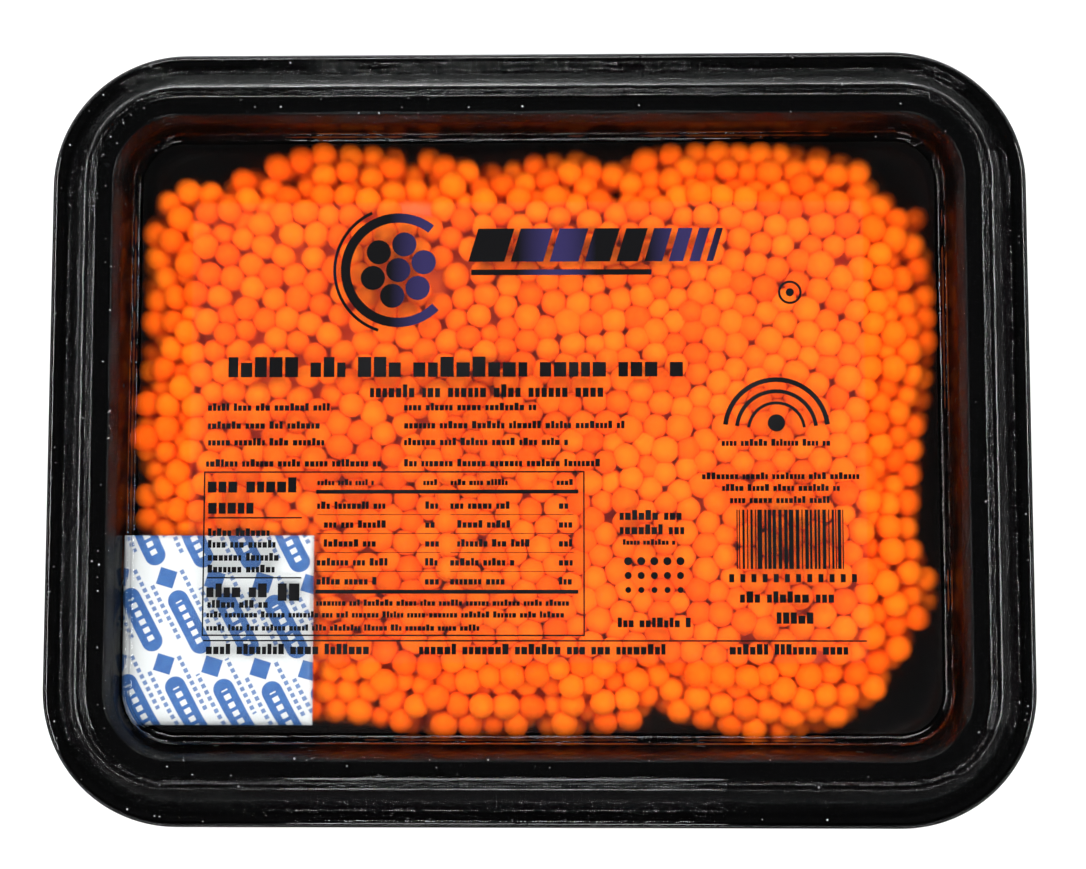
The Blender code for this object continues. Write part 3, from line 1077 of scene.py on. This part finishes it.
def makePrint():
    draw = np.random.default_rng(label["seed"])
    emblem = bmesh.new()
    printEmblem(emblem)
    navy = makeInkMaterial("navyInk", label["ink"], label["navyInk"], gradient=True)
    finishInk("labelEmblem", emblem, navy)
    bm = bmesh.new()
    printTitle(bm, draw)
    printRows(bm, draw)
    printTable(bm, draw)
    printRight(bm, draw)
    finishInk("labelPrint", bm, makeInkMaterial("blackInk", label["ink"], label["greyInk"]))


# Stage, light and camera

stage = {
    "floorSize": 3.0,
    "floorColour": (0.90, 0.90, 0.90),
    "floorRoughness": 0.9,
    "cameraPlace": (0.00923, -0.03374, 0.43654),
    "aim": (0.00134, -0.00007, 0.018),
    "focalPixels": 1815.6,
    "imageWidth": 1086,
    "sensor": 36.0,
    "lampTarget": (0, 0, 0.02),
    "lamps": (  # name, place, width, height, watts, and whether only gloss shows it
        ("softboxBack", (0.0, 0.72, 0.75), 1.3, 0.45, 11.6, False),
        ("softboxFront", (0.0, -0.72, 0.75), 1.3, 0.45, 8.6, False),
        ("softboxLeft", (-0.75, 0.0, 0.75), 1.1, 0.45, 9.8, False),
        ("softboxRight", (0.75, 0.0, 0.75), 1.1, 0.45, 9.8, False),
        ("stripBack", (-0.05, 0.85, 0.62), 0.90, 0.12, 5.0, True),
        ("stripFront", (-0.045, -0.85, 0.62), 0.34, 0.20, 2.5, True),
        ("stripAbove", (-0.045, -0.33, 1.0), 0.29, 0.05, 0.8, True),
        ("stripLeft", (-0.85, 0.0, 0.62), 0.80, 0.12, 6.0, True),
        ("stripRight", (0.85, 0.05, 0.62), 0.80, 0.12, 6.0, True)),
    "sky": (  # from straight down to straight up
        (0.0, (0.02, 0.02, 0.02)), (0.45, (0.03, 0.03, 0.03)), (0.62, (0.07, 0.07, 0.072)),
        (0.80, (0.025, 0.025, 0.025)), (0.95, (0.01, 0.01, 0.01))),
    "horizon": {"height": 0.05, "fall": (-22.0, 1.3), "glow": 6.0},
    "tableTop": {"drop": 0.55, "fall": (-5.0, 2.6), "back": (4.0, -1.6), "side": 0.12,
                 "sideFall": (-9.0, 1.6), "glow": (0.9, 0.6)},
    "bounces": {"max_bounces": 7, "diffuse_bounces": 3, "glossy_bounces": 3, "transmission_bounces": 5},
}


def makeFloor():
    bm = bmesh.new()
    bmesh.ops.create_grid(bm, x_segments=1, y_segments=1, size=stage["floorSize"] / 2)
    mesh = bpy.data.meshes.new("floor")
    bm.to_mesh(mesh)
    bm.free()
    floor = bpy.data.objects.new("floor", mesh)
    bpy.context.scene.collection.objects.link(floor)
    material, _, shader, _ = newMaterial("paleFloor")
    shader.inputs["Base Color"].default_value = (*stage["floorColour"], 1.0)
    shader.inputs["Roughness"].default_value = stage["floorRoughness"]
    mesh.materials.append(material)
    floor.visible_glossy = False
    floor.visible_transmission = False


def addLamp(name, place, width, height, power, reflected):
    # a large soft light, or a narrow one that is only seen as a streak in glossy plastic
    light = bpy.data.lights.new(name, "AREA")
    light.shape = "RECTANGLE"
    light.size = width
    light.size_y = height
    light.energy = power
    holder = bpy.data.objects.new(name, light)
    holder.location = place
    holder.rotation_mode = "QUATERNION"
    way = Vector(stage["lampTarget"]) - Vector(place)
    holder.rotation_quaternion = way.to_track_quat("-Z", "Y")
    holder.visible_glossy = reflected
    holder.visible_diffuse = not reflected
    holder.visible_transmission = False
    bpy.context.scene.collection.objects.link(holder)


def makeRoom():
    world = bpy.data.worlds.new("paleRoom")
    bpy.context.scene.world = world
    world.use_nodes = True
    tree = world.node_tree
    split = addNode(tree, "ShaderNodeSeparateXYZ")
    link(tree, addNode(tree, "ShaderNodeTexCoord").outputs["Generated"], split.inputs[0])
    height = addMath(tree, "MULTIPLY_ADD", split.outputs[2], 0.5, 0.5)
    sky = addRamp(tree, height, stage["sky"])
    # a bright low band all round, which draws thin lines along the bends
    horizon = stage["horizon"]
    off = addMath(tree, "ABSOLUTE", addMath(tree, "SUBTRACT", split.outputs[2], horizon["height"]))
    ring = addMath(tree, "MULTIPLY_ADD", off, *horizon["fall"], clamp=True)
    ring = addMath(tree, "MULTIPLY", ring, horizon["glow"])
    # the pale table top behind the pack, as the glossy plastic sees it
    tableTop = stage["tableTop"]
    low = addMath(tree, "ABSOLUTE", addMath(tree, "ADD", split.outputs[2], tableTop["drop"]))
    band = addMath(tree, "MULTIPLY_ADD", low, *tableTop["fall"], clamp=True)
    behind = addMath(tree, "MULTIPLY_ADD", split.outputs[1], *tableTop["back"], clamp=True)
    left = addMath(tree, "ABSOLUTE", addMath(tree, "ADD", split.outputs[0], tableTop["side"]))
    patch = addMath(tree, "MULTIPLY_ADD", left, *tableTop["sideFall"], clamp=True)
    patch = addMath(tree, "MULTIPLY_ADD", patch, *tableTop["glow"])
    glow = addMath(tree, "MULTIPLY_ADD", addMath(tree, "MULTIPLY", band, behind), patch, ring)
    wall = addNode(tree, "ShaderNodeMix", data_type="RGBA", blend_type="ADD")
    wall.inputs["Factor"].default_value = 1.0
    tint = addNode(tree, "ShaderNodeCombineColor")
    for socket in tint.inputs[:3]:
        link(tree, glow, socket)
    link(tree, sky, wall.inputs["A"])
    link(tree, tint.outputs[0], wall.inputs["B"])
    link(tree, wall.outputs["Result"], tree.nodes["Background"].inputs["Color"])


def makeCamera():
    camera = bpy.data.objects.new("camera", bpy.data.cameras.new("camera"))
    bpy.context.scene.collection.objects.link(camera)
    camera.data.sensor_width = stage["sensor"]
    camera.data.lens = stage["focalPixels"] / stage["imageWidth"] * stage["sensor"]
    camera.data.clip_start = 0.01
    camera.location = stage["cameraPlace"]
    camera.rotation_mode = "QUATERNION"
    back = (Vector(stage["cameraPlace"]) - Vector(stage["aim"])).normalized()
    right = Vector((0, 1, 0)).cross(back).normalized()
    turn = Matrix((right, back.cross(right), back)).transposed()
    camera.rotation_quaternion = turn.to_quaternion()
    bpy.context.scene.camera = camera
    bpy.context.scene.view_settings.view_transform = "Standard"


def limitBounces():
    cycles = bpy.context.scene.cycles
    for name, count in stage["bounces"].items():
        setattr(cycles, name, count)
    cycles.caustics_reflective = False
    cycles.caustics_refractive = False


makeTray()
print("tray made")
makeRoe()
makeSachet()
print("sachet made")
makeLid()
makeFlecks()
print("lid made")
makeFilm()
makePrint()
print("label made")
makeFloor()
for lamp in stage["lamps"]:
    addLamp(*lamp)
makeRoom()
makeCamera()
limitBounces()
print("stage made")
